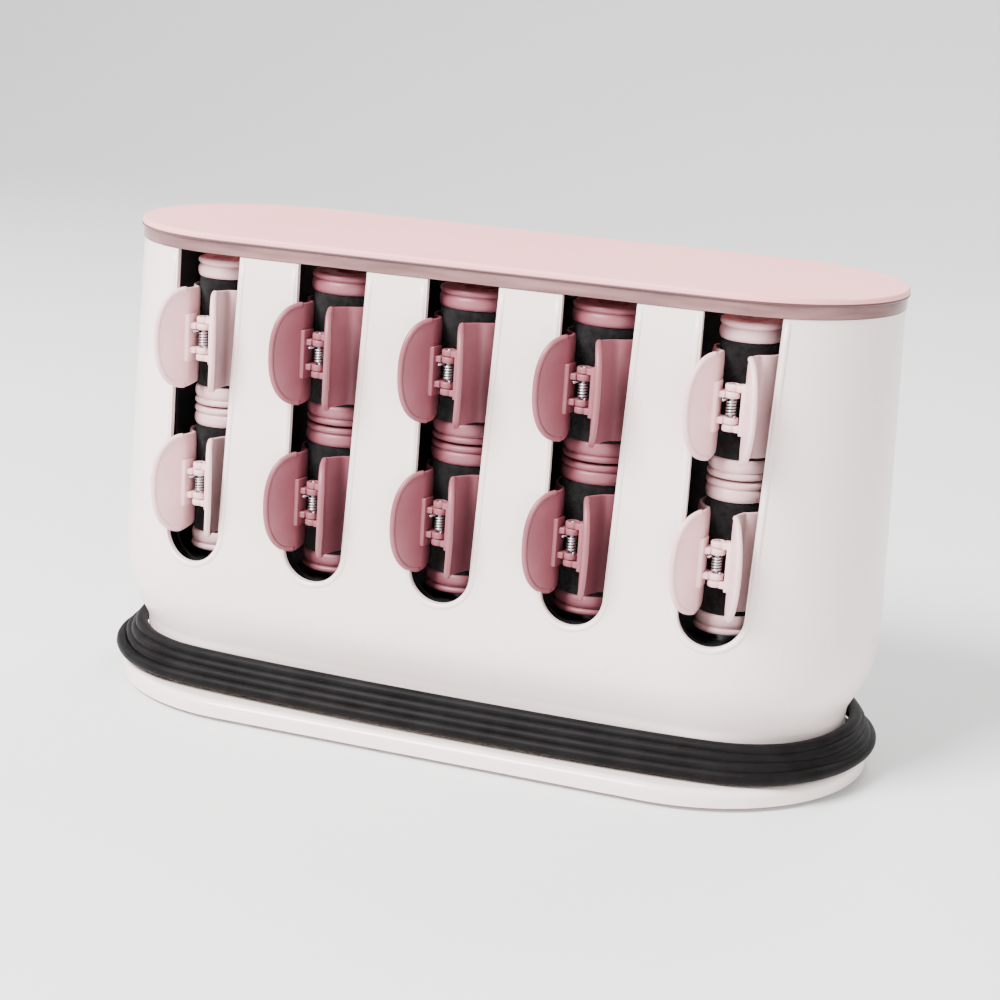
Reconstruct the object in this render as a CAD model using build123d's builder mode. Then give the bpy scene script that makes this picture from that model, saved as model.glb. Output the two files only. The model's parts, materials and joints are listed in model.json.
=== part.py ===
from build123d import *
import math
import os

os.makedirs("parts", exist_ok=True)

# Heated roller set, millimetres. X is the long way, -Y is the front, +Z is up.
# The origin is the middle of the standing surface.

# Housing: a stadium-shaped tower that widens down to a crease and then narrows to a waist.
HEIGHT = 203.0
LID_Z = 194.6
LID_HALF_LENGTH = 165.0
LID_HALF_DEPTH = 58.0
LID_PLATE = 2.2
RIM_WALL = 2.5
TAB_WIDTH = 16.0
TOP_HALF_LENGTH = 164.0
TOP_HALF_DEPTH = 57.0
CREASE_Z = 49.0
CREASE_HALF_LENGTH = 169.0
CREASE_HALF_DEPTH = 68.0
WAIST_Z = 12.0
WAIST_SHOULDER_Z = 27.0
WAIST_HALF_LENGTH = 158.0
WAIST_HALF_DEPTH = 57.0
BASE_HALF_LENGTH = 168.0
BASE_HALF_DEPTH = 75.0
BASE_Z = 2.0
BASE_THICKNESS = 7.0
BASE_EDGE = 3.2
SCREW_RADIUS = 2.5
WALL = 2.4
GAP = 0.3

# Rollers stand two to a post, five posts to a row.
COLUMNS = 5
PITCH = 56.0
ROW_Y = 37.0
SLOT_HALF_TOP = 15.3
SLOT_HALF_BOTTOM = 13.0
SLOT_BOTTOM_Z = 65.4
DECK_Z = 62.0
DECK_THICKNESS = 3.0
ROLLER_LENGTH = 62.0
LARGE_RADIUS = 16.0
SMALL_RADIUS = 12.5
ROLLER_BOTTOM = {"lower": 66.0, "upper": 129.0}
CLIP_Z = {"lower": 97.0, "upper": 159.0}
CLIP_TURN = {SMALL_RADIUS: -4.0, LARGE_RADIUS: -9.0}
POST_RADIUS = 6.0
BORE_RADIUS = 6.6
FLANGE = 8.0
FLANGE_STEP = 0.8

# Clips: two jaws on a hinge pin in front of the roller.
JAW_HEIGHT = 40.0  # the arm, its root and the wing
JAW_WALL = 1.8
HINGE_REACH = 6.0
PIN_RADIUS = 1.2
WING_REACH = 19.0
WING_SPREAD = 5.0
WING_ROOT = 4.4
LUG_Z = {"fixed": 3.8, "moving": 6.6}
LUG_HEIGHT = 2.5
LUG_RADIUS = 3.0
SPRING_RADIUS = 2.2
PIN_LENGTH = 19.0
RUNNING = 0.05

# Mains lead, wound round the waist.
CORD = 5.5
WINDING_LOW = 9.2
WINDING_HIGH = 27.0
WINDING_TOP_OUT = 6.5
WINDING_FOOT_OUT = 15.0
WINDING_END_OUT = 14.0
TAIL_ROUTE = [
    (20, 67, 14), (-20, 69, 16), (-55, 75, 18), (-84, 85, 17), (-108, 101, 10), (-116, 126, 3),
    (-100, 150, 3), (-70, 158, 3), (-38, 150, 3), (-8, 140, 6), (16, 138, 8),
]

# Rocker switch and lamp on the left end.
SWITCH_Z = 98.0
LAMP_Z = 122.0

LINER_HALF_LENGTH = 158.0
LINER_HALF_DEPTH = 54.3
LINER_WALL = 1.2
LINER_SLOT_MARGIN = 3.2
DIVIDER_HALF_LENGTH = 145.0
DIVIDER_WALL = 3.0
DIVIDER_HEIGHT = 124.0


def save(item, name):
    item.part.label = name
    export_step(item.part, "parts/" + name + ".step")


def column_x(column):
    return (column - (COLUMNS + 1) / 2) * PITCH


def stadium(half_length, half_depth):
    """Sketch of a straight-sided plan with half-round ends."""
    SlotOverall(2 * half_length, 2 * half_depth)


def slot_outline(extra=0.0):
    """U-shaped outline of a roller slot, open upwards, for a sketch on a vertical plane."""
    top = HEIGHT + 20
    low = SLOT_BOTTOM_Z - extra + SLOT_HALF_BOTTOM + extra
    left = (-SLOT_HALF_BOTTOM - extra, low)
    right = (SLOT_HALF_BOTTOM + extra, low)
    bottom = (0, SLOT_BOTTOM_Z - extra)
    with BuildLine() as outline:
        Line((-SLOT_HALF_TOP - extra, top), left)
        ThreePointArc(left, bottom, right)
        Line(right, (SLOT_HALF_TOP + extra, top))
        Line((SLOT_HALF_TOP + extra, top), (-SLOT_HALF_TOP - extra, top))
    make_face(outline.edges())


def shell(name, side):
    """One half of the tower: side is -1 for the front and +1 for the rear."""
    with BuildPart() as half:
        with BuildSketch(Plane.XY.offset(LID_Z)):
            stadium(TOP_HALF_LENGTH, TOP_HALF_DEPTH)
        with BuildSketch(Plane.XY.offset(CREASE_Z)):
            stadium(CREASE_HALF_LENGTH, CREASE_HALF_DEPTH)
        loft(ruled=True)
        with BuildSketch(Plane.XY.offset(CREASE_Z)):
            stadium(CREASE_HALF_LENGTH, CREASE_HALF_DEPTH)
        with BuildSketch(Plane.XY.offset(WAIST_SHOULDER_Z)):
            stadium(WAIST_HALF_LENGTH, WAIST_HALF_DEPTH)
        loft(ruled=True)
        with BuildSketch(Plane.XY.offset(WAIST_SHOULDER_Z)):
            stadium(WAIST_HALF_LENGTH, WAIST_HALF_DEPTH)
        extrude(amount=WAIST_Z - WAIST_SHOULDER_Z)
        with BuildSketch(Plane.XY.offset(LID_Z)):
            stadium(TOP_HALF_LENGTH - WALL, TOP_HALF_DEPTH - WALL)
        with BuildSketch(Plane.XY.offset(CREASE_Z)):
            stadium(CREASE_HALF_LENGTH - WALL, CREASE_HALF_DEPTH - WALL)
        loft(ruled=True, mode=Mode.SUBTRACT)
        with BuildSketch(Plane.XY.offset(CREASE_Z)):
            stadium(CREASE_HALF_LENGTH - WALL, CREASE_HALF_DEPTH - WALL)
        with BuildSketch(Plane.XY.offset(WAIST_SHOULDER_Z)):
            stadium(WAIST_HALF_LENGTH - WALL, WAIST_HALF_DEPTH - WALL)
        loft(ruled=True, mode=Mode.SUBTRACT)
        with BuildSketch(Plane.XY.offset(WAIST_SHOULDER_Z)):
            stadium(WAIST_HALF_LENGTH - WALL, WAIST_HALF_DEPTH - WALL)
        extrude(amount=WAIST_Z - WAIST_SHOULDER_Z, mode=Mode.SUBTRACT)
        for column in range(1, COLUMNS + 1):
            with BuildSketch(Plane.XZ.move(Location((column_x(column), 0, 0)))):
                slot_outline()
            extrude(amount=2 * BASE_HALF_DEPTH, both=True, mode=Mode.SUBTRACT)
        with BuildSketch(Plane.YZ.offset(-CREASE_HALF_LENGTH - 2)):
            with Locations((0, SWITCH_Z)):
                Rectangle(15, 25)
            with Locations((0, LAMP_Z)):
                Circle(3.2)
        extrude(amount=12, mode=Mode.SUBTRACT)
        split(bisect_by=Plane.XZ, keep=Keep.TOP if side < 0 else Keep.BOTTOM)
    save(half, name)


def liner():
    """Black tub behind the slots: a deck for the posts and a wall between the two rows."""
    with BuildPart() as tub:
        with BuildSketch(Plane.XY.offset(DECK_Z - DECK_THICKNESS)):
            stadium(LINER_HALF_LENGTH, LINER_HALF_DEPTH)
        extrude(amount=LID_Z - GAP - DECK_Z + DECK_THICKNESS)
        with BuildSketch(Plane.XY.offset(DECK_Z)):
            stadium(LINER_HALF_LENGTH - LINER_WALL, LINER_HALF_DEPTH - LINER_WALL)
        extrude(amount=LID_Z - DECK_Z, mode=Mode.SUBTRACT)
        for column in range(1, COLUMNS + 1):
            with BuildSketch(Plane.XZ.move(Location((column_x(column), 0, 0)))):
                slot_outline(LINER_SLOT_MARGIN)
            extrude(amount=2 * BASE_HALF_DEPTH, both=True, mode=Mode.SUBTRACT)
        with BuildSketch(Plane.XY.offset(DECK_Z)):
            Rectangle(2 * DIVIDER_HALF_LENGTH, DIVIDER_WALL)
        extrude(amount=DIVIDER_HEIGHT)
    save(tub, "inner_liner")


def post_places():
    return [(column_x(c), y) for c in range(1, COLUMNS + 1) for y in (-ROW_Y, ROW_Y)]


def posts():
    """Ten aluminium posts that carry the heat up into the rollers, pressed on the heater plate."""
    with BuildPart() as rods:
        with BuildSketch(Plane.XY.offset(DECK_Z)):
            with Locations(*post_places()):
                Circle(POST_RADIUS)
        extrude(amount=122)
        chamfer(rods.faces().group_by(Axis.Z)[-1].edges(), 2)
    save(rods, "heating_posts")
    with BuildPart() as plate:
        with BuildSketch(Plane.XY.offset(DECK_Z - DECK_THICKNESS - 3)):
            Rectangle(280, 84)
        extrude(amount=3)
    save(plate, "heater_plate")
    with BuildPart() as element:
        with BuildSketch(Plane.XY.offset(50)):
            with Locations((0, -ROW_Y), (0, ROW_Y)):
                SlotOverall(260, 12)
        extrude(amount=6)
    save(element, "heating_elements")


def controls():
    """Thermostat, thermal fuse and wire clamp under the heater plate."""
    with BuildPart() as thermostat:
        with BuildSketch(Plane.XY.offset(44)):
            Circle(8)
        extrude(amount=12)
        with BuildSketch(Plane.XY.offset(41)):
            Rectangle(20, 6)
        extrude(amount=3)
        with BuildSketch(Plane.YZ.offset(30)):
            with Locations((0, 54)):
                Circle(2)
        extrude(amount=24)
    save(thermostat, "thermostat_and_fuse")
    with BuildPart() as terminals:
        with BuildSketch(Plane.XY.offset(BASE_Z + BASE_THICKNESS)):
            with Locations((90, 0)):
                Rectangle(34, 18)
        extrude(amount=14)
    save(terminals, "terminal_block")


def base():
    """Flared foot plate: its rim stands out as the ledge that the cord sits on."""
    screw_places = [(x, y) for x in (-95, 95) for y in (-36, 36)]
    with BuildPart() as plate:
        with BuildSketch(Plane.XY.offset(BASE_Z)):
            stadium(BASE_HALF_LENGTH, BASE_HALF_DEPTH)
        extrude(amount=BASE_THICKNESS)
        fillet(plate.faces().sort_by(Axis.Z)[-1].edges(), BASE_EDGE)
        with BuildSketch(Plane.XY.offset(BASE_Z)):
            with Locations(*screw_places):
                Circle(SCREW_RADIUS)
        extrude(amount=BASE_THICKNESS, mode=Mode.SUBTRACT)
        with BuildSketch(Plane.XY.offset(BASE_Z + BASE_THICKNESS)):
            stadium(WAIST_HALF_LENGTH, WAIST_HALF_DEPTH)
            offset(amount=-4, mode=Mode.SUBTRACT)
        extrude(amount=WAIST_Z - BASE_Z - BASE_THICKNESS)
    save(plate, "base_plate")
    places = [(x, y) for x in (-110, 110) for y in (-52, 52)]
    with BuildPart() as feet:
        with BuildSketch():
            with Locations(*places):
                Circle(8)
        extrude(amount=BASE_Z)
    save(feet, "rubber_feet")
    with BuildPart() as screws:
        with BuildSketch(Plane.XY.offset(BASE_Z)):
            with Locations(*screw_places):
                Circle(SCREW_RADIUS)
        extrude(amount=14)
    save(screws, "base_screws")


def lid():
    """Lift-off lid: a plate on a translucent rim, with a snap tab at each end."""
    with BuildPart() as top:
        with BuildSketch(Plane.XY.offset(HEIGHT - LID_PLATE)):
            stadium(LID_HALF_LENGTH, LID_HALF_DEPTH)
        extrude(amount=LID_PLATE)
        fillet(top.faces().sort_by(Axis.Z)[-1].edges(), 1.2)
    save(top, "lid_plate")
    with BuildPart() as rim:
        with BuildSketch(Plane.XY.offset(LID_Z + GAP)):
            stadium(LID_HALF_LENGTH - 0.6, LID_HALF_DEPTH - 0.6)
            offset(amount=-RIM_WALL, mode=Mode.SUBTRACT)
        extrude(amount=HEIGHT - LID_PLATE - LID_Z - GAP)
        with BuildSketch(Plane.XY.offset(LID_Z + 1.4)):
            with Locations((LID_HALF_LENGTH - 4.6, 0), (4.6 - LID_HALF_LENGTH, 0)):
                Rectangle(3.0, TAB_WIDTH)
        extrude(amount=4)
        with BuildSketch(Plane.XY.offset(LID_Z + 1.4)):
            with Locations((LID_HALF_LENGTH - 5.4, 0), (5.4 - LID_HALF_LENGTH, 0)):
                Rectangle(1.4, TAB_WIDTH)
        extrude(amount=-7)
    save(rim, "lid_rim")


def jaw(plane, radius, hand, kind):
    """One clip jaw: an arm curved round the barrel, a wing that stands forward and two lugs."""
    inner = radius + GAP
    outer = inner + JAW_WALL
    hinge = (0, -radius - HINGE_REACH)
    root_y = hinge[1] - LUG_RADIUS
    tip_y = hinge[1] - WING_REACH
    wing_out = WING_ROOT + JAW_WALL
    hole = PIN_RADIUS if kind == "fixed" else PIN_RADIUS + RUNNING
    front, side, back = (math.radians(angle) for angle in (-62, -8, 48))

    def at(reach, angle):
        return (hand * reach * math.cos(angle), reach * math.sin(angle))

    with BuildPart() as half_clip:
        with BuildSketch(plane.offset(-JAW_HEIGHT / 2)):
            with BuildLine():
                ThreePointArc(at(inner, front), at(inner, side), at(inner, back))
                Line(at(inner, back), at(outer, back))
                ThreePointArc(at(outer, back), at(outer, side), at(outer, front))
                Polyline(
                    at(outer, front),
                    (hand * wing_out, root_y),
                    (hand * (wing_out + WING_SPREAD), tip_y),
                    (hand * (WING_ROOT + WING_SPREAD), tip_y),
                    (hand * WING_ROOT, root_y),
                    at(inner, front),
                )
            make_face()
        extrude(amount=JAW_HEIGHT)
        for low in (LUG_Z[kind], -LUG_Z[kind] - LUG_HEIGHT):
            with BuildSketch(plane.offset(low)):
                with Locations(hinge):
                    Circle(LUG_RADIUS)
                with Locations((hand * (WING_ROOT + 0.4) / 2, hinge[1])):
                    Rectangle(WING_ROOT + 0.4, 2 * LUG_RADIUS)
                with Locations(hinge):
                    Circle(hole, mode=Mode.SUBTRACT)
            extrude(amount=LUG_HEIGHT)
    return half_clip


def roller(name, column, side, tier):
    """Barrel with end rims, its fixed clip jaw, hinge pin and spring; then the moving jaw."""
    radius = SMALL_RADIUS if column in (1, COLUMNS) else LARGE_RADIUS
    low = ROLLER_BOTTOM[tier]
    turn = CLIP_TURN[radius] if side < 0 else 180 + CLIP_TURN[radius]
    plane = Plane.XY.move(Location((column_x(column), side * ROW_Y, 0), (0, 0, turn)))
    clip_plane = plane.offset(CLIP_Z[tier])
    hinge = (0, -radius - HINGE_REACH)
    fixed = jaw(clip_plane, radius, -1, "fixed")
    with BuildPart() as body:
        with BuildSketch(plane.offset(low)):
            Circle(radius)
            Circle(BORE_RADIUS, mode=Mode.SUBTRACT)
        extrude(amount=ROLLER_LENGTH)
        with BuildSketch(plane.offset(low + FLANGE)):
            Circle(radius)
            Circle(radius - FLANGE_STEP, mode=Mode.SUBTRACT)
        extrude(amount=ROLLER_LENGTH - 2 * FLANGE, mode=Mode.SUBTRACT)
        add(fixed.part)
        with BuildSketch(clip_plane.offset(-PIN_LENGTH / 2)):
            with Locations(hinge):
                Circle(PIN_RADIUS)
        extrude(amount=PIN_LENGTH)
        with BuildSketch(clip_plane.offset(-LUG_Z["fixed"] + GAP)):
            with Locations(hinge):
                Circle(SPRING_RADIUS)
        extrude(amount=2 * (LUG_Z["fixed"] - GAP))
    save(body, name)
    save(jaw(clip_plane, radius, 1, "moving"), name.replace("roller", "clip_jaw"))


def switch():
    """Rocker switch in its bezel, with a lamp above it, on the left end."""
    face = Plane.YZ.offset(-CREASE_HALF_LENGTH - 0.5)
    with BuildPart() as bezel:
        with BuildSketch(face):
            with Locations((0, SWITCH_Z)):
                RectangleRounded(18, 28, 2)
                Rectangle(11, 21, mode=Mode.SUBTRACT)
        extrude(amount=1.6)
        with BuildSketch(face.offset(1.6)):
            with Locations((0, SWITCH_Z)):
                Rectangle(14.4, 24.4)
                Rectangle(11, 21, mode=Mode.SUBTRACT)
        extrude(amount=6)
    save(bezel, "switch_bezel")
    with BuildPart() as rocker:
        with BuildSketch(Plane.XZ.move(Location((-CREASE_HALF_LENGTH + 2, SWITCH_Z, 0)))):
            with BuildLine():
                Polyline(
                    (4, 8), (-2.5, 10), (-4.2, 9.4), (-2.6, 0),
                    (-4.2, -9.4), (-2.5, -10), (4, -8), close=True,
                )
            make_face()
        extrude(amount=5, both=True)
    save(rocker, "switch_rocker")
    with BuildPart() as lamp:
        with BuildSketch(Plane.YZ.offset(-CREASE_HALF_LENGTH + 0.6)):
            with Locations((0, LAMP_Z)):
                Circle(3)
        extrude(amount=6)
        fillet(lamp.faces().sort_by(Axis.X)[0].edges(), 1)
    save(lamp, "indicator_lens")


def run_length(first, second):
    return (Vector(second) - Vector(first)).length


def bend_radii(route):
    """As large an arc at each corner as its two runs allow."""
    radii = []
    for before, corner, after in zip(route, route[1:], route[2:]):
        turn = (Vector(corner) - Vector(before)).get_angle(Vector(after) - Vector(corner))
        shorter = min(run_length(before, corner), run_length(corner, after))
        radii.append(0.45 * shorter / math.tan(math.radians(turn) / 2))
    return radii


def cord():
    """Lead: the winding as one solid of its outer shape, then a free tail that ends in the plug."""
    with BuildPart() as winding:
        with BuildSketch(Plane.XY.offset(WINDING_LOW)):
            stadium(WAIST_HALF_LENGTH + WINDING_END_OUT, WAIST_HALF_DEPTH + WINDING_FOOT_OUT)
        with BuildSketch(Plane.XY.offset(WINDING_HIGH)):
            stadium(WAIST_HALF_LENGTH + WINDING_TOP_OUT, WAIST_HALF_DEPTH + WINDING_TOP_OUT)
        loft(ruled=True)
        with BuildSketch(Plane.XY.offset(WINDING_LOW)):
            stadium(WAIST_HALF_LENGTH + GAP, WAIST_HALF_DEPTH + GAP)
        extrude(amount=WINDING_HIGH - WINDING_LOW, mode=Mode.SUBTRACT)
    save(winding, "cord_winding")
    radii = bend_radii(TAIL_ROUTE)
    print("tail radii", [round(radius, 1) for radius in radii])
    with BuildPart() as tail:
        with BuildLine() as path:
            FilletPolyline(*TAIL_ROUTE, radius=radii)
        with BuildSketch(Plane(path.line @ 0, z_dir=path.line % 0)):
            Circle(CORD / 2)
        sweep(path=path.line)
    length = sum(edge.length for edge in path.edges())
    expected = math.pi * CORD ** 2 / 4 * length
    print("tail volume", round(tail.part.volume), "expected", round(expected), "length", round(length))
    save(tail, "cord_tail")
    with BuildPart() as relief:
        with BuildSketch(Plane.YZ.offset(124)):
            with Locations((WAIST_HALF_DEPTH - 1, 22)):
                Circle(4)
        with BuildSketch(Plane.YZ.offset(98)):
            with Locations((WAIST_HALF_DEPTH + 4, 22)):
                Circle(CORD / 2 + 0.5)
        loft()
    save(relief, "strain_relief")
    end = TAIL_ROUTE[-1]
    with BuildPart() as plug:
        with BuildSketch(Plane.YZ.offset(end[0])):
            with Locations((end[1], end[2])):
                RectangleRounded(26, 15, 6)
        with BuildSketch(Plane.YZ.offset(end[0] + 34)):
            with Locations((end[1], end[2])):
                RectangleRounded(34, 15.4, 7)
        loft()
        with BuildSketch(Plane.YZ.offset(end[0] + 34)):
            with Locations((end[1] - 9.5, end[2]), (end[1] + 9.5, end[2])):
                Circle(2.4)
        extrude(amount=19)
    save(plug, "mains_plug")


def main():
    shell("front_shell", -1)
    shell("rear_shell", 1)
    liner()
    posts()
    controls()
    base()
    lid()
    switch()
    cord()
    for column in range(1, COLUMNS + 1):
        for side, side_name in ((-1, "front"), (1, "rear")):
            for tier in ("upper", "lower"):
                roller(f"roller_{side_name}_{column}_{tier}", column, side, tier)


main()
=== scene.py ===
import json
import math

import bmesh
import bpy
from mathutils import Matrix, Vector


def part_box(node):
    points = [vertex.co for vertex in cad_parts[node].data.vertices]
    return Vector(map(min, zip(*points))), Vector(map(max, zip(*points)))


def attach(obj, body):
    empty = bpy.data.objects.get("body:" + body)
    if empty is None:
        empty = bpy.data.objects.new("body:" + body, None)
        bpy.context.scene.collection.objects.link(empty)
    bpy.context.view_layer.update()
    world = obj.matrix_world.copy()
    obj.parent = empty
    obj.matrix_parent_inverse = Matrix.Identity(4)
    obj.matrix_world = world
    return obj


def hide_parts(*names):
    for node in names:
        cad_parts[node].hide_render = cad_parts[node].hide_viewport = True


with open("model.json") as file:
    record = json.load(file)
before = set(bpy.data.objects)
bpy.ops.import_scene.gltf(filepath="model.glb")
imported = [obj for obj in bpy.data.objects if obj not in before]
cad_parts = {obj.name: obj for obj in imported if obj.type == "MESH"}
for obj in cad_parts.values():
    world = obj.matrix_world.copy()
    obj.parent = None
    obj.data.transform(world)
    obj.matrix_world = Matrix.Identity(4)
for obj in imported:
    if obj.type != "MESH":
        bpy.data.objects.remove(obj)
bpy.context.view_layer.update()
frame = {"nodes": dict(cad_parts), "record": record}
MM = 0.001

# Housing. The tower's profile runs from its top by the crease and the shoulder to its foot.
SHELL_LOW, SHELL_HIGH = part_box("front_shell")
LID_LOW, LID_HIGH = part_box("lid_plate")
TOWER = [  # height, half length, half depth
    (SHELL_HIGH[2], 0.1640, 0.0570),
    (0.049, 0.1690, 0.0680),
    (0.027, 0.1580, 0.0570),
    (SHELL_LOW[2], 0.1580, 0.0570),
]
WAIST_HALF_LENGTH, WAIST_HALF_DEPTH = TOWER[2][1:]
CREASE_SOFTNESS, SHOULDER_SOFTNESS = 0.16, 0.12  # share of the flat above each corner that its curve takes
CORNER_STEPS = 8
LEVEL_STEP = 8 * MM
WALL = 2.4 * MM

# Roller slots.
COLUMNS = 5
PITCH = 56 * MM
ROW_Y = 37 * MM
SLOT_BOTTOM = 65.4 * MM
SLOT_TOP_HALF = 15.3 * MM
SLOT_LOW_HALF = 13.0 * MM
CUTTER_TOP = 210 * MM  # above the shell, so that each slot is open at the top
CUTTER_Y = (-100 * MM, -20 * MM)
LIP_RADIUS = 1.45 * MM
LIP_OUTSIDE_SLOT = 1.3 * MM
LIP_SINK = 0.95 * MM

# Rollers.
RADII = {"large": 16 * MM, "small": 12.5 * MM}
ROLLER_LENGTH = 62 * MM
ROLLER_Z = {"lower": 66 * MM, "upper": 129 * MM}
FLANGE = 8 * MM
BORE = 6.6 * MM
BORE_EDGE = 0.4 * MM
BEAD_DEPTH = 1.2 * MM
BEAD_GAP = 0.12 * MM  # half of the groove between two beads
BEAD_SPLIT = {"top": 5.3 * MM, "bottom": 2.7 * MM}
SLEEVE_STEP = 0.75 * MM
SLEEVE_OVERLAP = 0.3 * MM
SLEEVE_TUCK = 0.5 * MM
NAP = 0.10 * MM

# Clips. Places are measured from the hinge's axis: to the side, and out from the roller.
CLIP_Z = {"lower": 97 * MM, "upper": 159 * MM}
CLIP_TURN = {"large": math.radians(-9), "small": math.radians(-4)}
HINGE_REACH = 6 * MM
JAW_WALL = 1.8 * MM
JAW_GAP = 0.3 * MM
ARM_START, ARM_END = 46, -58
ARM_ROUNDING, ARM_ROUNDED_SHARE = 7, 0.25
ARM_HALF_HEIGHT = 20.1 * MM
WING_HALF_HEIGHT = 20.7 * MM
WING_ROOT = (6.5 * MM, 2.4 * MM)
WING_TIP = (13.2 * MM, 15 * MM)
WING_BELLY = (-0.7 * MM, -0.4 * MM)
WING_POWERS = (2.5, 0.42)  # of the wing's D-shaped outline
WING_LAST_REACH, WING_LEAST_HEIGHT = 0.9995, 0.9 * MM
JAW_EDGE_THINNING, JAW_EDGE_POWER = 0.55, 14
LINK_BEND = (6.5 * MM, -1.5 * MM)
BORDER_INSET = 0.7 * MM
BORDER_RADIUS = 1.25 * MM
BORDER_CREASE = (4, 9)  # points along the wing that the thumb-grip crease starts at and reaches
CREASE_HALF_HEIGHT = 12.5 * MM
CREASE_RADIUS = 0.55 * MM
CREASE_OUT = 0.75 * MM
LUG_LEVEL = {"fixed": 3.8 * MM, "moving": 6.6 * MM}
LUG_BORE = {"fixed": 1.0 * MM, "moving": 1.25 * MM}
LUG_HEIGHT = 2.5 * MM
LUG_RADIUS = 3 * MM
LUG_EDGE = 0.3 * MM
LUG_ARM_X = (2.2 * MM, 6.4 * MM)
PLATE_X = (4.7 * MM, 7.2 * MM)
PLATE_Y = (-4.4 * MM, 2.4 * MM)
PLATE_HALF_HEIGHT = 9.9 * MM
PIN_RADIUS = 0.95 * MM
PIN_HALF_LENGTH = 9.4 * MM
PIN_HEAD = 0.3 * MM
SPRING_TURNS = 5.5
SPRING_STEPS = 120
SPRING_WIRE = 0.42 * MM
SPRING_COIL = 1.75 * MM
SPRING_HALF_LENGTH = 3.1 * MM
SPRING_LEGS = ((0.6 * MM, -3.4 * MM, 0), (-0.8 * MM, -4.0 * MM, 0))

# Mains lead: the turns round the waist, each lower and wider than the last, then the tail behind.
CORD = 5.5 * MM
CORD_EXIT = (98 * MM, 61 * MM, 22 * MM)
CORD_LEAD_IN = (60 * MM, 61.7 * MM, 22 * MM)
TURNS = 4
POINTS_PER_TURN = 20
FIRST_TURN_OUT, OUT_PER_TURN = 3.6, 2.35  # mm
FIRST_TURN_HEIGHT, DROP_PER_TURN = 23.6, 3.0  # mm
LOOSENESS, LOOSE_RHYTHM = 1.2 * MM, 2.1
END_BOW, END_BOW_ANGLES = 1.5 * MM, (120, 240)  # the last turn stands off at one end
END_ROUNDNESS = 0.985
EXIT_ANGLE = 90
TAIL = [  # mm
    (-20, 69, 16), (-55, 75, 18), (-84, 85, 17), (-108, 101, 10), (-116, 126, 3),
    (-100, 150, 3), (-70, 158, 3), (-38, 150, 3), (-8, 140, 6), (16, 138, 8),
]

# Two-pin plug.
PIN_REACH = 19 * MM
PIN_SLEEVE = 9 * MM
PIN_OFFSET = 9.5 * MM
PIN_SLEEVE_RADIUS, PIN_END_RADIUS = 1.9 * MM, 2.3 * MM
PLUG_SQUARENESS = 0.7
PLUG_WIDTHS = (8.5 * MM, 8.3 * MM)  # half width at the lead, and how much it gains to the face
PLUG_HEIGHTS = (5.4 * MM, 2.1 * MM)
RIB_DEPTH, RIB_FROM, RIB_TO = 0.5 * MM, 0.15, 0.6
PLUG_END_SQUEEZE = 0.85
PIN_TIP = 0.3 * MM

# Painted shadow: a thin dark line under the lid plate.
GAP_LINE_RADIUS = 0.7 * MM
GAP_LINE_INSET = 0.5 * MM

# Studio.
FLOOR_HALF_WIDTH = 9
SWEEP_FRONT, SWEEP_FOOT, SWEEP_RADIUS, SWEEP_TOP = -4.0, 1.6, 1.4, 6.0
SKY = (1.0, 0.985, 0.975, 1)
SKY_STRENGTH = 0.82
LIGHTS = (  # name, place, size, power
    ("key", (-0.8, -1.3, 1.7), 0.9, 165),
    ("fill", (1.5, -1.0, 0.8), 1.2, 12),
    ("back", (0.3, 1.4, 1.6), 1.0, 30),
    ("strip", (-1.3, 0.1, 0.6), 0.5, 6),
)
LIGHT_TARGET = (0, 0, 0.1)
CAMERA_STATION = (0.277, -0.8179, 0.3188)
CAMERA_AZIMUTH, CAMERA_ELEVATION, CAMERA_ROLL = math.radians(18.6), math.radians(14.6), math.radians(3.7)
CAMERA_LENS = 74.8


# ---------------------------------------------------------------- materials

def new_material(name, colour, roughness, **sockets):
    """Principled material; a socket's name has underscores for spaces."""
    material = bpy.data.materials.new(name)
    material.use_nodes = True
    shader = material.node_tree.nodes["Principled BSDF"]
    shader.inputs["Base Color"].default_value = (*colour, 1)
    shader.inputs["Roughness"].default_value = roughness
    for key, value in sockets.items():
        shader.inputs[key.replace("_", " ")].default_value = value
    return material


def tree(material):
    nodes = material.node_tree.nodes
    return nodes, material.node_tree.links, nodes["Principled BSDF"]


def noise(nodes, links, scale, detail, stretch=(1, 1, 1)):
    coords = nodes.new("ShaderNodeTexCoord")
    mapping = nodes.new("ShaderNodeMapping")
    mapping.inputs["Scale"].default_value = stretch
    texture = nodes.new("ShaderNodeTexNoise")
    texture.inputs["Scale"].default_value = scale
    texture.inputs["Detail"].default_value = detail
    links.new(coords.outputs["Object"], mapping.inputs["Vector"])
    links.new(mapping.outputs["Vector"], texture.inputs["Vector"])
    return texture.outputs["Fac"]


def mottle(material, dark, light, scale, stretch=(1, 1, 1)):
    """Colour that drifts between two shades."""
    nodes, links, shader = tree(material)
    ramp = nodes.new("ShaderNodeValToRGB")
    for stop, position, colour in zip(ramp.color_ramp.elements, (0.3, 0.7), (dark, light)):
        stop.position = position
        stop.color = (*colour, 1)
    links.new(noise(nodes, links, scale, 5, stretch), ramp.inputs["Fac"])
    links.new(ramp.outputs["Color"], shader.inputs["Base Color"])


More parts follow.
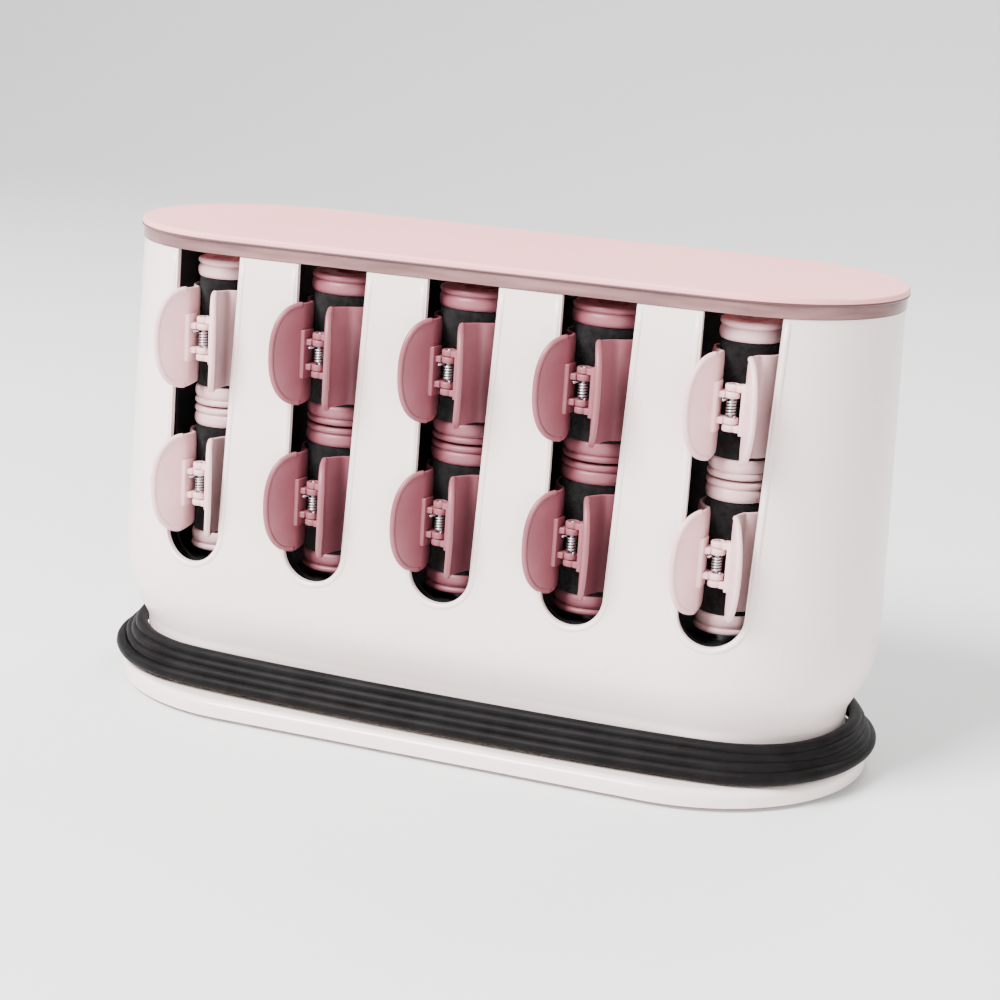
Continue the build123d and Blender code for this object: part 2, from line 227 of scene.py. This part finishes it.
def grain(material, scale, strength, distance, rough=None, stretch=(1, 1, 1)):
    """Fine surface grain, and roughness that varies with a coarser noise."""
    nodes, links, shader = tree(material)
    bump = nodes.new("ShaderNodeBump")
    bump.inputs["Strength"].default_value = strength
    bump.inputs["Distance"].default_value = distance
    links.new(noise(nodes, links, scale, 3, stretch), bump.inputs["Height"])
    links.new(bump.outputs["Normal"], shader.inputs["Normal"])
    if rough:
        spread = nodes.new("ShaderNodeMapRange")
        spread.inputs["To Min"].default_value = rough[0]
        spread.inputs["To Max"].default_value = rough[1]
        links.new(noise(nodes, links, scale / 12, 2), spread.inputs["Value"])
        links.new(spread.outputs["Result"], shader.inputs["Roughness"])


def drifting(name, dark, light, scale, roughness, stretch=(1, 1, 1), **sockets):
    """Material whose colour drifts between two shades."""
    middle = [(low + high) / 2 for low, high in zip(dark, light)]
    material = new_material(name, middle, roughness, **sockets)
    mottle(material, dark, light, scale, stretch)
    return material


def make_materials():
    roller_plastic = {"Subsurface_Weight": 0.06, "Subsurface_Scale": 0.002}
    made = {
        "pearl": drifting("pearl_moulding", (0.90, 0.762, 0.712), (0.93, 0.797, 0.75), 9, 0.3,
                          Coat_Weight=0.35, Coat_Roughness=0.12),
        "blush_lid": drifting("blush_lid", (0.93, 0.37, 0.385), (0.95, 0.42, 0.43), 12, 0.42,
                              Specular_IOR_Level=0.2),
        "smoky_rim": drifting("smoky_rim", (0.17, 0.07, 0.07), (0.38, 0.19, 0.185), 28, 0.16,
                              (1, 1, 9), Transmission_Weight=0.35, IOR=1.49),
        "blush_roller": drifting("blush_plastic", (0.80, 0.49, 0.505), (0.86, 0.56, 0.57), 60, 0.4,
                                 **roller_plastic),
        "rose_roller": drifting("rose_plastic", (0.23, 0.066, 0.086), (0.29, 0.092, 0.114), 60, 0.4,
                                **roller_plastic),
        "velvet": drifting("black_flock", (0.004, 0.0035, 0.004), (0.014, 0.0125, 0.013), 420, 0.95,
                           Specular_IOR_Level=0.1, Sheen_Weight=0.1, Sheen_Roughness=0.4),
        "black_plastic": new_material("black_moulding", (0.014, 0.013, 0.014), 0.5),
        "cord_pvc": drifting("cord_pvc", (0.0035, 0.003, 0.0032), (0.008, 0.007, 0.0075), 90, 0.42,
                             Specular_IOR_Level=0.07),
        "foot_rubber": new_material("foot_rubber", (0.03, 0.03, 0.03), 0.8),
        "aluminium": new_material("turned_aluminium", (0.62, 0.62, 0.64), 0.35, Metallic=1.0),
        "steel": new_material("plated_steel", (0.5, 0.5, 0.52), 0.3, Metallic=1.0),
        "brass": new_material("plated_brass", (0.72, 0.55, 0.28), 0.3, Metallic=1.0),
        "lamp": new_material("lamp_lens", (0.6, 0.03, 0.02), 0.15, Transmission_Weight=0.5, IOR=1.5),
    }
    grains = {  # noise scale, bump strength, bump distance, then roughness range and stretch if any
        "pearl": (900, 0.05, 0.0002, (0.24, 0.34)),
        "blush_lid": (1400, 0.08, 0.0002, (0.38, 0.5)),
        "smoky_rim": (500, 0.05, 0.0002, (0.1, 0.24)),
        "blush_roller": (1800, 0.14, 0.0003, (0.34, 0.5)),
        "rose_roller": (1800, 0.14, 0.0003, (0.34, 0.5)),
        "velvet": (2600, 0.9, 0.0006),
        "black_plastic": (1500, 0.2, 0.0003, (0.42, 0.6)),
        "cord_pvc": (700, 0.15, 0.0003, (0.45, 0.6)),
        "foot_rubber": (900, 0.3, 0.0004),
        "aluminium": (60, 0.2, 0.0002, (0.28, 0.42), (1, 1, 40)),
        "steel": (500, 0.1, 0.0002, (0.22, 0.4)),
        "brass": (500, 0.1, 0.0002, (0.22, 0.4)),
        "lamp": (300, 0.1, 0.0002, (0.1, 0.2)),
    }
    for key, values in grains.items():
        grain(made[key], *values)
    return made


# ---------------------------------------------------------------- mesh helpers

def finish_mesh(name, bm, material, smooth=True):
    bmesh.ops.recalc_face_normals(bm, faces=bm.faces)
    mesh = bpy.data.meshes.new(name)
    bm.to_mesh(mesh)
    bm.free()
    for polygon in mesh.polygons:
        polygon.use_smooth = smooth
    mesh.materials.append(material)
    return mesh


def add_object(name, mesh, place=None):
    piece = bpy.data.objects.new(name, mesh)
    bpy.context.scene.collection.objects.link(piece)
    if place is not None:
        piece.matrix_world = place
    return piece


def add_grid(bm, rows, close_u=False, close_v=False):
    """Quads between rows of points; each row has the same number of points."""
    verts = [[bm.verts.new(point) for point in row] for row in rows]
    count_v = len(rows) if close_v else len(rows) - 1
    count_u = len(rows[0]) if close_u else len(rows[0]) - 1
    for v in range(count_v):
        for u in range(count_u):
            above = verts[(v + 1) % len(rows)]
            below = verts[v]
            after = (u + 1) % len(rows[0])
            bm.faces.new((below[u], below[after], above[after], above[u]))
    return verts


def cap_ends(bm, verts):
    """Closes the first and the last row of a grid that goes all the way round."""
    bm.faces.new(verts[0])
    bm.faces.new(verts[-1])


def add_lathe(bm, profile, segments=64, centre=(0, 0)):
    """Turns a closed loop of (radius, height) points about an upright axis through centre."""
    rows = []
    for radius, height in profile:
        rows.append([
            (centre[0] + radius * math.cos(a), centre[1] + radius * math.sin(a), height)
            for a in (2 * math.pi * k / segments for k in range(segments))
        ])
    add_grid(bm, rows, close_u=True, close_v=True)


def add_tube(bm, points, radius, segments):
    """Round bar along points, closed at both ends, with frames carried from point to point."""
    points = [Vector(point) for point in points]
    up = Vector((0, 0, 1))
    rows = []
    for index, point in enumerate(points):
        ahead = points[min(index + 1, len(points) - 1)] - points[max(index - 1, 0)]
        ahead.normalize()
        if abs(ahead.dot(up)) > 0.95:
            up = Vector((1, 0, 0))
        side = ahead.cross(up).normalized()
        up = side.cross(ahead).normalized()
        rows.append([
            point + radius * (math.cos(a) * side + math.sin(a) * up)
            for a in (2 * math.pi * k / segments for k in range(segments))
        ])
    cap_ends(bm, add_grid(bm, rows, close_u=True))


def arc(centre, radius, start, end, steps):
    """Points of an arc in degrees, as (x, y) pairs."""
    angles = [math.radians(start + (end - start) * k / steps) for k in range(steps + 1)]
    return [(centre[0] + radius * math.cos(a), centre[1] + radius * math.sin(a)) for a in angles]


# ---------------------------------------------------------------- housing

def tower_profile():
    """(height, half length, half depth) down the tower, with each corner softened."""
    levels = [TOWER[0]]
    corners = zip(TOWER, TOWER[1:], TOWER[2:], (CREASE_SOFTNESS, SHOULDER_SOFTNESS))
    for before, corner, after, soft in corners:
        into = [c + (b - c) * soft for b, c in zip(before, corner)]
        out = [c + (a - c) * soft * 2 for a, c in zip(after, corner)]
        for k in range(CORNER_STEPS + 1):
            t = k / CORNER_STEPS
            levels.append(tuple(
                (1 - t) ** 2 * i + 2 * t * (1 - t) * c + t ** 2 * o for i, c, o in zip(into, corner, out)
            ))
    levels.append(TOWER[-1])
    dense = []
    for low, high in zip(levels, levels[1:]):
        steps = max(1, round(abs(low[0] - high[0]) / LEVEL_STEP))
        dense += [tuple(a + (b - a) * k / steps for a, b in zip(low, high)) for k in range(steps)]
    return dense + [levels[-1]]


def tower_at(height):
    """Half length and half depth of the tower at a height."""
    levels = tower_profile()
    for high, low in zip(levels, levels[1:]):
        if low[0] <= height <= high[0]:
            t = (high[0] - height) / (high[0] - low[0])
            return high[1] + (low[1] - high[1]) * t, high[2] + (low[2] - high[2]) * t
    return levels[0][1], levels[0][2]


def front_y(x, height):
    """Y of the tower's front surface."""
    length, depth = tower_at(height)
    beyond = abs(x) - (length - depth)
    return -depth if beyond <= 0 else -math.sqrt(max(depth ** 2 - beyond ** 2, 0))


def half_stadium(length, depth):
    """Points of a stadium's front half, from its left end to its right end."""
    arc_steps, side_steps = 26, 34
    straight = length - depth
    left = arc((-straight, 0), depth, 180, 270, arc_steps)
    right = arc((straight, 0), depth, 270, 360, arc_steps)
    side = [(-straight + 2 * straight * k / side_steps, -depth) for k in range(1, side_steps)]
    return left + side + right


def slot_path(extra=0.0, top=CUTTER_TOP):
    """(x, z) of a slot's U outline from its left top to its right top."""
    sides, steps = 14, 28
    half = SLOT_LOW_HALF + extra
    low = SLOT_BOTTOM + SLOT_LOW_HALF
    left = [
        (-half - (SLOT_TOP_HALF - SLOT_LOW_HALF) * k / sides, low + (top - low) * k / sides)
        for k in range(sides, 0, -1)
    ]
    return left + arc((0, low), half, 180, 360, steps) + [(-x, z) for x, z in reversed(left)]


def column_x(column):
    return (column - (COLUMNS + 1) / 2) * PITCH


def slot_cutter(material):
    """Five bars with the slots' outline, to be cut out of the front half."""
    bm = bmesh.new()
    for column in range(1, COLUMNS + 1):
        rows = [[(column_x(column) + x, y, z) for x, z in slot_path()] for y in CUTTER_Y]
        cap_ends(bm, add_grid(bm, rows, close_u=True))
    return add_object("slot_cutter", finish_mesh("slot_cutter", bm, material, False))


def make_shell(name, node, turn, materials):
    """Half of the housing: pearl outside, black inside, with five slots; turned about the upright axis."""
    bm = bmesh.new()
    add_grid(bm, [
        [(x, y, height) for x, y in half_stadium(length, depth)] for height, length, depth in tower_profile()
    ])
    piece = add_object(name, finish_mesh(name, bm, materials["pearl"]))
    thick = piece.modifiers.new("wall", "SOLIDIFY")
    thick.thickness = WALL
    thick.offset = -1
    thick.material_offset = 1
    thick.material_offset_rim = 0
    piece.data.materials.append(materials["black_plastic"])
    cutter = slot_cutter(materials["pearl"])
    cut = piece.modifiers.new("slots", "BOOLEAN")
    cut.object = cutter
    cut.operation = "DIFFERENCE"
    cut.solver = "EXACT"
    apply_modifiers(piece)
    bpy.data.objects.remove(cutter)
    piece.data.set_sharp_from_angle(angle=math.radians(35))
    piece.data.transform(Matrix.Rotation(turn, 4, "Z"))
    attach(piece, "root")
    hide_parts(node)
    make_slot_lips(name + "_slot_lips", turn, materials["pearl"])


def make_slot_lips(name, turn, material):
    """Rounded lip round each slot."""
    lips = bmesh.new()
    for column in range(1, COLUMNS + 1):
        points = []
        for x, z in slot_path(LIP_OUTSIDE_SLOT, SHELL_HIGH[2] - LIP_RADIUS):
            place = column_x(column) + x
            points.append((place, front_y(place, z) + LIP_SINK, z))
        add_tube(lips, points, LIP_RADIUS, 14)
    trim = add_object(name, finish_mesh(name, lips, material))
    trim.data.transform(Matrix.Rotation(turn, 4, "Z"))
    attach(trim, "root")


def apply_modifiers(piece):
    """Puts the modified mesh in the place of the plain one."""
    graph = bpy.context.evaluated_depsgraph_get()
    mesh = bpy.data.meshes.new_from_object(piece.evaluated_get(graph))
    piece.modifiers.clear()
    piece.data = mesh


# ---------------------------------------------------------------- rollers

def bead(radius, low, high):
    """(radius, height) points of one rounded bead on a flange's edge."""
    steps = 8
    middle = (low + high) / 2
    half = (high - low) / 2
    return [
        (radius - BEAD_DEPTH + BEAD_DEPTH * math.cos(a), middle + half * math.sin(a))
        for a in (math.pi * (k / steps - 0.5) for k in range(steps + 1))
    ]


def flange_profile(radius, low, place):
    """A fat bead next to the nap and a slim one at the end, then in to the post hole."""
    split = low + BEAD_SPLIT[place]
    high = low + FLANGE
    beads = bead(radius, low, split - BEAD_GAP) + bead(radius, split + BEAD_GAP, high)
    inner = [(BORE + BORE_EDGE, high), (BORE, high - BORE_EDGE), (BORE, low + BORE_EDGE), (BORE + BORE_EDGE, low)]
    return beads + inner


def roller_ends(size, material):
    """The two end flanges of a roller."""
    radius = RADII[size]
    bm = bmesh.new()
    add_lathe(bm, flange_profile(radius, 0, "bottom"))
    add_lathe(bm, flange_profile(radius, ROLLER_LENGTH - FLANGE, "top"))
    return finish_mesh("roller_ends_" + size, bm, material)


def roller_sleeve(size, material):
    """Flocked sleeve: a soft, slightly uneven nap, tucked in at its ends."""
    radius = RADII[size] - SLEEVE_STEP
    levels, around = 46, 96
    length = ROLLER_LENGTH - 2 * FLANGE + 2 * SLEEVE_OVERLAP
    angles = [2 * math.pi * k / around for k in range(around)]
    rows = []
    for level in range(levels + 1):
        height = FLANGE - SLEEVE_OVERLAP + length * level / levels
        edge = min(level, levels - level) / 3
        tuck = SLEEVE_TUCK * max(0, 1 - edge) ** 2
        row = []
        for a in angles:
            nap = NAP * math.sin(7 * a + 0.3 * height / MM) * math.sin(0.55 * height / MM)
            r = radius - tuck + nap
            row.append((r * math.cos(a), r * math.sin(a), height))
        rows.append(row)
    for height in (rows[-1][0][2], rows[0][0][2]):
        rows.append([(BORE * math.cos(a), BORE * math.sin(a), height) for a in angles])
    bm = bmesh.new()
    add_grid(bm, rows, close_u=True, close_v=True)
    return finish_mesh("roller_sleeve_" + size, bm, material)


def hinge_y(size):
    return -RADII[size] - HINGE_REACH


def from_hinge(size, place):
    """Plan point from a place to the side of the hinge's axis and out from the roller."""
    return Vector((place[0], hinge_y(size) - place[1]))


def bend(start, pull, end, t):
    """Point at t of the curve from start to end that pull draws towards itself."""
    return (1 - t) ** 2 * start + 2 * t * (1 - t) * pull + t ** 2 * end


def jaw_plan(size):
    """Plan line of one jaw's middle: round the barrel, to the hinge, then out along the wing."""
    middle = RADII[size] + JAW_GAP + JAW_WALL / 2
    arm_steps, link_steps, wing_steps = 20, 6, 22
    root = from_hinge(size, WING_ROOT)
    tip = from_hinge(size, WING_TIP)
    arm = [Vector(point) for point in arc((0, 0), middle, ARM_START, ARM_END, arm_steps)]
    elbow = from_hinge(size, LINK_BEND)
    link = [bend(arm[-1], elbow, root, k / link_steps) for k in range(1, link_steps + 1)]
    belly = (root + tip) / 2 + Vector(WING_BELLY)
    eased = [math.sin(math.pi / 2 * k / wing_steps) for k in range(1, wing_steps + 1)]
    wing = [bend(root, belly, tip, t) for t in eased]
    return arm, link, wing


def jaw_half_height(part, t):
    """Half height along the jaw: arm ends rounded, shoulder at the link, D-shaped wing."""
    if part == "arm":
        return ARM_HALF_HEIGHT * (1 - max(0, ARM_ROUNDED_SHARE - t) ** 2 * ARM_ROUNDING)
    if part == "link":
        return ARM_HALF_HEIGHT + (WING_HALF_HEIGHT - ARM_HALF_HEIGHT) * t
    along, down = WING_POWERS
    return WING_HALF_HEIGHT * (1 - t ** along) ** down


def jaw_surface(size, hand):
    """Plan points down the jaw, the half height at each, and where the wing starts."""
    arm, link, wing = jaw_plan(size)
    points = arm + link + wing
    first = len(arm) + len(link)
    heights = [jaw_half_height("arm", k / (len(arm) - 1)) for k in range(len(arm))]
    heights += [jaw_half_height("link", (k + 1) / len(link)) for k in range(len(link))]
    for point in wing:
        reach = (point - link[-1]).length / (wing[-1] - link[-1]).length
        heights.append(max(jaw_half_height("wing", min(reach, WING_LAST_REACH)), WING_LEAST_HEIGHT))
    return [Vector((hand * p.x, p.y)) for p in points], heights, first


def jaw_mesh(size, hand, kind, material):
    """One jaw: its wall, thinner towards the upper and lower edges, then the wing's border and the lugs."""
    points, heights, first = jaw_surface(size, hand)
    bm = bmesh.new()
    across = 16
    rings = []
    for index, (point, height) in enumerate(zip(points, heights)):
        ahead = points[min(index + 1, len(points) - 1)] - points[max(index - 1, 0)]
        normal = Vector((ahead.y, -ahead.x)).normalized() * JAW_WALL / 2
        ring = []
        for side in (1, -1):
            for k in range(across + 1):
                t = math.sin(math.pi / 2 * (2 * k / across - 1)) * side
                thin = 1 - JAW_EDGE_THINNING * abs(t) ** JAW_EDGE_POWER
                p = point + normal * side * thin
                ring.append((p.x, p.y, height * t))
        rings.append(ring)
    cap_ends(bm, add_grid(bm, rings, close_u=True))
    add_wing_border(bm, hand, points[first:], heights[first:])
    add_lugs(bm, size, hand, kind)
    return finish_mesh(f"jaw_{size}_{kind}", bm, material)


def add_wing_border(bm, hand, points, heights):
    """Raised bead round the wing's curved free edge, and a thumb-grip crease."""
    upper = [Vector((p.x, p.y, h - BORDER_INSET)) for p, h in zip(points, heights)]
    lower = [Vector((p.x, p.y, BORDER_INSET - h)) for p, h in zip(points, heights)]
    add_tube(bm, upper[:-1] + list(reversed(lower[:-1])), BORDER_RADIUS, 10)
    start, middle = (points[k] for k in BORDER_CREASE)
    ahead = (middle - start).normalized()
    out = Vector((ahead.y, -ahead.x)) * hand * -1
    crease, steps = [], 14
    for k in range(steps + 1):
        t = k / steps
        place = start.lerp(middle, math.sin(math.pi * t)) + out * CREASE_OUT
        crease.append((place.x, place.y, (2 * t - 1) * CREASE_HALF_HEIGHT))
    add_tube(bm, crease, CREASE_RADIUS, 8)


def add_block(bm, low, high, edge=0.4 * MM):
    """Box with softened edges."""
    made = bmesh.ops.create_cube(bm, size=1)["verts"]
    for vert in made:
        for axis in range(3):
            vert.co[axis] = high[axis] if vert.co[axis] > 0 else low[axis]
    edges = list(dict.fromkeys(e for v in made for e in v.link_edges))
    bmesh.ops.bevel(bm, geom=edges, offset=edge, segments=2, affect="EDGES", profile=0.5)


def add_lugs(bm, size, hand, kind):
    """Two hinge lugs and the upright plate behind them."""
    axis_y = hinge_y(size)
    level, inner = LUG_LEVEL[kind], LUG_BORE[kind]
    arm_x = sorted(hand * x for x in LUG_ARM_X)
    for sign in (1, -1):
        low, high = sorted((sign * level, sign * (level + LUG_HEIGHT)))
        profile = [(inner, low), (LUG_RADIUS - LUG_EDGE, low), (LUG_RADIUS, low + LUG_EDGE),
                   (LUG_RADIUS, high - LUG_EDGE), (LUG_RADIUS - LUG_EDGE, high), (inner, high)]
        add_lathe(bm, profile, 28, (0, axis_y))
        add_block(bm, (arm_x[0], axis_y - LUG_RADIUS, low), (arm_x[1], axis_y + LUG_RADIUS, high))
    plate_x = sorted(hand * x for x in PLATE_X)
    add_block(bm, (plate_x[0], axis_y + PLATE_Y[0], -PLATE_HALF_HEIGHT),
              (plate_x[1], axis_y + PLATE_Y[1], PLATE_HALF_HEIGHT))


def clip_metal(size, material):
    """Hinge pin with peened heads, and the torsion spring wound on it."""
    axis_y = hinge_y(size)
    bm = bmesh.new()
    shank = PIN_HALF_LENGTH - PIN_HEAD
    pin_profile = [(PIN_HEAD, -PIN_HALF_LENGTH), (PIN_RADIUS, -shank), (PIN_RADIUS, shank),
                   (PIN_HEAD, PIN_HALF_LENGTH)]
    add_lathe(bm, pin_profile, 20, (0, axis_y))
    helix = []
    for k in range(SPRING_STEPS + 1):
        a = 2 * math.pi * SPRING_TURNS * k / SPRING_STEPS
        height = SPRING_HALF_LENGTH * (2 * k / SPRING_STEPS - 1)
        helix.append(Vector((SPRING_COIL * math.cos(a), axis_y + SPRING_COIL * math.sin(a), height)))
    legs = [end + Vector(leg) for end, leg in zip((helix[0], helix[-1]), SPRING_LEGS)]
    add_tube(bm, [legs[0]] + helix + [legs[1]], SPRING_WIRE, 8)
    return finish_mesh("clip_metal_" + size, bm, material)


def make_rollers(materials):
    """Twenty rollers from two sets of shared meshes; the end columns hold the small ones."""
    meshes = {}
    for size, slot in (("large", "rose_roller"), ("small", "blush_roller")):
        meshes[size] = {
            "size": size,
            "slot": slot,
            "ends": roller_ends(size, materials[slot]),
            "sleeve": roller_sleeve(size, materials["velvet"]),
            "fixed": jaw_mesh(size, -1, "fixed", materials[slot]),
            "moving": jaw_mesh(size, 1, "moving", materials[slot]),
            "metal": clip_metal(size, materials["steel"]),
        }
    for column in range(1, COLUMNS + 1):
        for side, row in ((-1, "front"), (1, "rear")):
            for tier in ("upper", "lower"):
                place_roller(meshes["small" if column in (1, COLUMNS) else "large"], column, side, row, tier)


def place_roller(meshes, column, side, row, tier):
    """One roller with its clip: all but the moving jaw ride on the roller's body."""
    name = f"{row}_{column}_{tier}"
    turn = Matrix.Rotation(CLIP_TURN[meshes["size"]] + (0 if side < 0 else math.pi), 4, "Z")
    base = Matrix.Translation((column_x(column), side * ROW_Y, ROLLER_Z[tier])) @ turn
    clip = Matrix.Translation((column_x(column), side * ROW_Y, CLIP_Z[tier])) @ turn
    body = f"roller_{name}_body"
    pieces = {
        "ends": add_object(f"roller_{name}_ends", meshes["ends"], base),
        "sleeve": add_object(f"roller_{name}_flock", meshes["sleeve"], base),
        "fixed": add_object(f"roller_{name}_fixed_jaw", meshes["fixed"], clip),
        "metal": add_object(f"roller_{name}_spring_and_pin", meshes["metal"], clip),
    }
    for key, piece in pieces.items():
        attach(piece, body)
    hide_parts(f"roller_{name}")
    mover = add_object(f"clip_{name}_moving_jaw", meshes["moving"], clip)
    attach(mover, f"clip_jaw_{name}_body")
    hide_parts(f"clip_jaw_{name}")


# ---------------------------------------------------------------- cord

def winding_points():
    """The lead's turns round the waist, a little loose, each lower and wider than the last."""
    points = []
    straight = WAIST_HALF_LENGTH - WAIST_HALF_DEPTH
    for k in range(1, TURNS * POINTS_PER_TURN + 1):
        turn = k / POINTS_PER_TURN
        angle = EXIT_ANGLE + 360 * (k % POINTS_PER_TURN) / POINTS_PER_TURN
        out = (FIRST_TURN_OUT + OUT_PER_TURN * turn) * MM
        height = (FIRST_TURN_HEIGHT - DROP_PER_TURN * turn) * MM
        loose = LOOSENESS * math.sin(LOOSE_RHYTHM * k)
        if turn > TURNS - 1 and END_BOW_ANGLES[0] < angle < END_BOW_ANGLES[1]:
            out += END_BOW
        radius = WAIST_HALF_DEPTH + out + loose / 2
        a = math.radians(angle)
        side = straight * max(-1, min(1, 3 * math.cos(a)))
        points.append((side + radius * math.cos(a) * END_ROUNDNESS, radius * math.sin(a), height + loose / 4))
    return points


def make_cord(materials):
    """The lead, as one curve from the strain relief to the plug."""
    points = [CORD_EXIT, CORD_LEAD_IN] + winding_points()
    points += [tuple(MM * value for value in point) for point in TAIL]
    curve = bpy.data.curves.new("mains_lead", "CURVE")
    curve.dimensions = "3D"
    spline = curve.splines.new("NURBS")
    spline.points.add(len(points) - 1)
    for place, point in zip(spline.points, points):
        place.co = (*point, 1)
    spline.order_u = 3
    spline.use_endpoint_u = True
    spline.resolution_u = 10
    curve.bevel_depth = CORD / 2
    curve.bevel_resolution = 5
    curve.use_fill_caps = True
    curve.materials.append(materials["cord_pvc"])
    lead = bpy.data.objects.new("mains_lead", curve)
    bpy.context.scene.collection.objects.link(lead)
    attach(lead, "root")
    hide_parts("cord_winding", "cord_tail")
    plug = make_plug(materials)


def superellipse(value):
    """Cosine or sine drawn out towards its ends, for a squarish section."""
    return math.copysign(abs(value) ** PLUG_SQUARENESS, value)


def make_plug(materials):
    """Two-pin plug: a body that widens to its face, with grip ribs, and round sleeved pins."""
    low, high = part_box("mains_plug")
    middle_y, middle_z = (low[1] + high[1]) / 2, (low[2] + high[2]) / 2
    bm = bmesh.new()
    body_end = high[0] - PIN_REACH
    rows = []
    stations, around = 16, 32
    for k in range(stations + 1):
        t = k / stations
        x = low[0] + (body_end - low[0]) * t
        rib = RIB_DEPTH * (k % 2) * (RIB_FROM < t < RIB_TO)
        width = PLUG_WIDTHS[0] + PLUG_WIDTHS[1] * t ** 0.7 - rib
        height = PLUG_HEIGHTS[0] + PLUG_HEIGHTS[1] * math.sqrt(t)
        squeeze = PLUG_END_SQUEEZE if k in (0, stations) else 1
        rows.append([
            (x, middle_y + squeeze * width * superellipse(math.cos(a)),
             middle_z + squeeze * height * superellipse(math.sin(a)))
            for a in (2 * math.pi * j / around for j in range(around))
        ])
    cap_ends(bm, add_grid(bm, rows, close_u=True))
    plug = add_object("two_pin_plug", finish_mesh("two_pin_plug", bm, materials["cord_pvc"]))
    pins_bm = bmesh.new()
    sleeve_end = body_end + PIN_SLEEVE
    for y in (middle_y - PIN_OFFSET, middle_y + PIN_OFFSET):
        sleeve = [(x, y, middle_z) for x in (body_end - MM, sleeve_end)]
        metal = [(x, y, middle_z) for x in (sleeve_end, high[0] - MM, high[0] - PIN_TIP)]
        add_tube(pins_bm, sleeve, PIN_SLEEVE_RADIUS, 20)
        add_tube(pins_bm, metal, PIN_END_RADIUS, 20)
    pins = add_object("two_pin_plug_pins", finish_mesh("two_pin_plug_pins", pins_bm, materials["brass"]))
    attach(plug, "root")
    pins.parent = plug
    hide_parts("mains_plug")
    return plug


# ---------------------------------------------------------------- lid and kept parts

def make_painted_lid_shadow():
    """A thin dark tube under the lid plate's edge: a painted shadow line."""
    length, depth = LID_HIGH[0], LID_HIGH[1]
    front = half_stadium(length - GAP_LINE_INSET, depth - GAP_LINE_INSET)
    path = front + [(-x, -y) for x, y in front[1:-1]]
    around = 8
    rows = []
    for k in range(around):
        a = 2 * math.pi * k / around
        swell = GAP_LINE_RADIUS * math.cos(a)
        height = LID_LOW[2] - GAP_LINE_INSET + GAP_LINE_RADIUS * math.sin(a)
        row = []
        for x, y in path:
            centre_x = max(-(length - depth), min(length - depth, x))
            outward = Vector((x - centre_x, y)).normalized()
            row.append((x + outward.x * swell, y + outward.y * swell, height))
        rows.append(row)
    bm = bmesh.new()
    add_grid(bm, rows, close_u=True, close_v=True)
    # painted shade: the dark colour of the shadow line under the lid plate's edge
    dark = new_material("lid_painted_shade", (0.10, 0.035, 0.038), 0.4)
    grain(dark, 900, 0.1, 0.0002)
    line = add_object("lid_painted_shadow_line", finish_mesh("lid_painted_shadow_line", bm, dark))
    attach(line, "lid")


def dress_kept_nodes(materials):
    """Gives every part that keeps its CAD shape the material of its slot."""
    slots = {entry["node"]: entry["material_slot"] for entry in frame["record"]["subparts"]}
    for node, piece in frame["nodes"].items():
        piece.data.materials.clear()
        piece.data.materials.append(materials[slots[node]])


# ---------------------------------------------------------------- stage

def make_stage():
    """Pale floor with a curved sweep behind, an even sky and four soft lights."""
    sweep = [(SWEEP_FRONT, 0.0), (SWEEP_FOOT, 0.0)]
    sweep += [(SWEEP_FOOT + y, SWEEP_RADIUS + z) for y, z in arc((0, 0), SWEEP_RADIUS, -85, 0, 17)]
    sweep.append((SWEEP_FOOT + SWEEP_RADIUS, SWEEP_TOP))
    bm = bmesh.new()
    add_grid(bm, [[(-FLOOR_HALF_WIDTH, y, z), (FLOOR_HALF_WIDTH, y, z)] for y, z in sweep])
    floor_material = new_material("studio_floor", (0.82, 0.82, 0.82), 0.7)
    grain(floor_material, 30, 0.02, 0.001)
    floor = add_object("studio_floor", finish_mesh("studio_floor", bm, floor_material))
    world = bpy.data.worlds.new("studio")
    bpy.context.scene.world = world
    world.use_nodes = True
    sky = world.node_tree.nodes["Background"]
    sky.inputs["Color"].default_value = SKY
    sky.inputs["Strength"].default_value = SKY_STRENGTH
    for name, place, size, power in LIGHTS:
        light = bpy.data.lights.new(name, "AREA")
        light.size = size
        light.energy = power
        lamp = bpy.data.objects.new(name, light)
        lamp.location = place
        lamp.rotation_euler = (Vector(LIGHT_TARGET) - Vector(place)).to_track_quat("-Z", "Y").to_euler()
        bpy.context.scene.collection.objects.link(lamp)


def make_camera():
    """Stands to the right and above; the view is rolled a little."""
    back = Vector((
        math.sin(CAMERA_AZIMUTH) * math.cos(CAMERA_ELEVATION),
        -math.cos(CAMERA_AZIMUTH) * math.cos(CAMERA_ELEVATION),
        math.sin(CAMERA_ELEVATION),
    ))
    camera = bpy.data.cameras.new("camera")
    camera.lens = CAMERA_LENS
    camera.clip_start = 0.01
    holder = bpy.data.objects.new("camera", camera)
    turn = (-back).to_track_quat("-Z", "Y").to_matrix().to_4x4()
    holder.matrix_world = Matrix.Translation(CAMERA_STATION) @ turn @ Matrix.Rotation(CAMERA_ROLL, 4, "Z")
    bpy.context.scene.collection.objects.link(holder)
    bpy.context.scene.camera = holder


MATERIALS = make_materials()
make_camera()
make_stage()
dress_kept_nodes(MATERIALS)
make_cord(MATERIALS)
make_shell("front_housing", "front_shell", 0, MATERIALS)
make_shell("rear_housing", "rear_shell", math.pi, MATERIALS)
make_rollers(MATERIALS)
make_painted_lid_shadow()
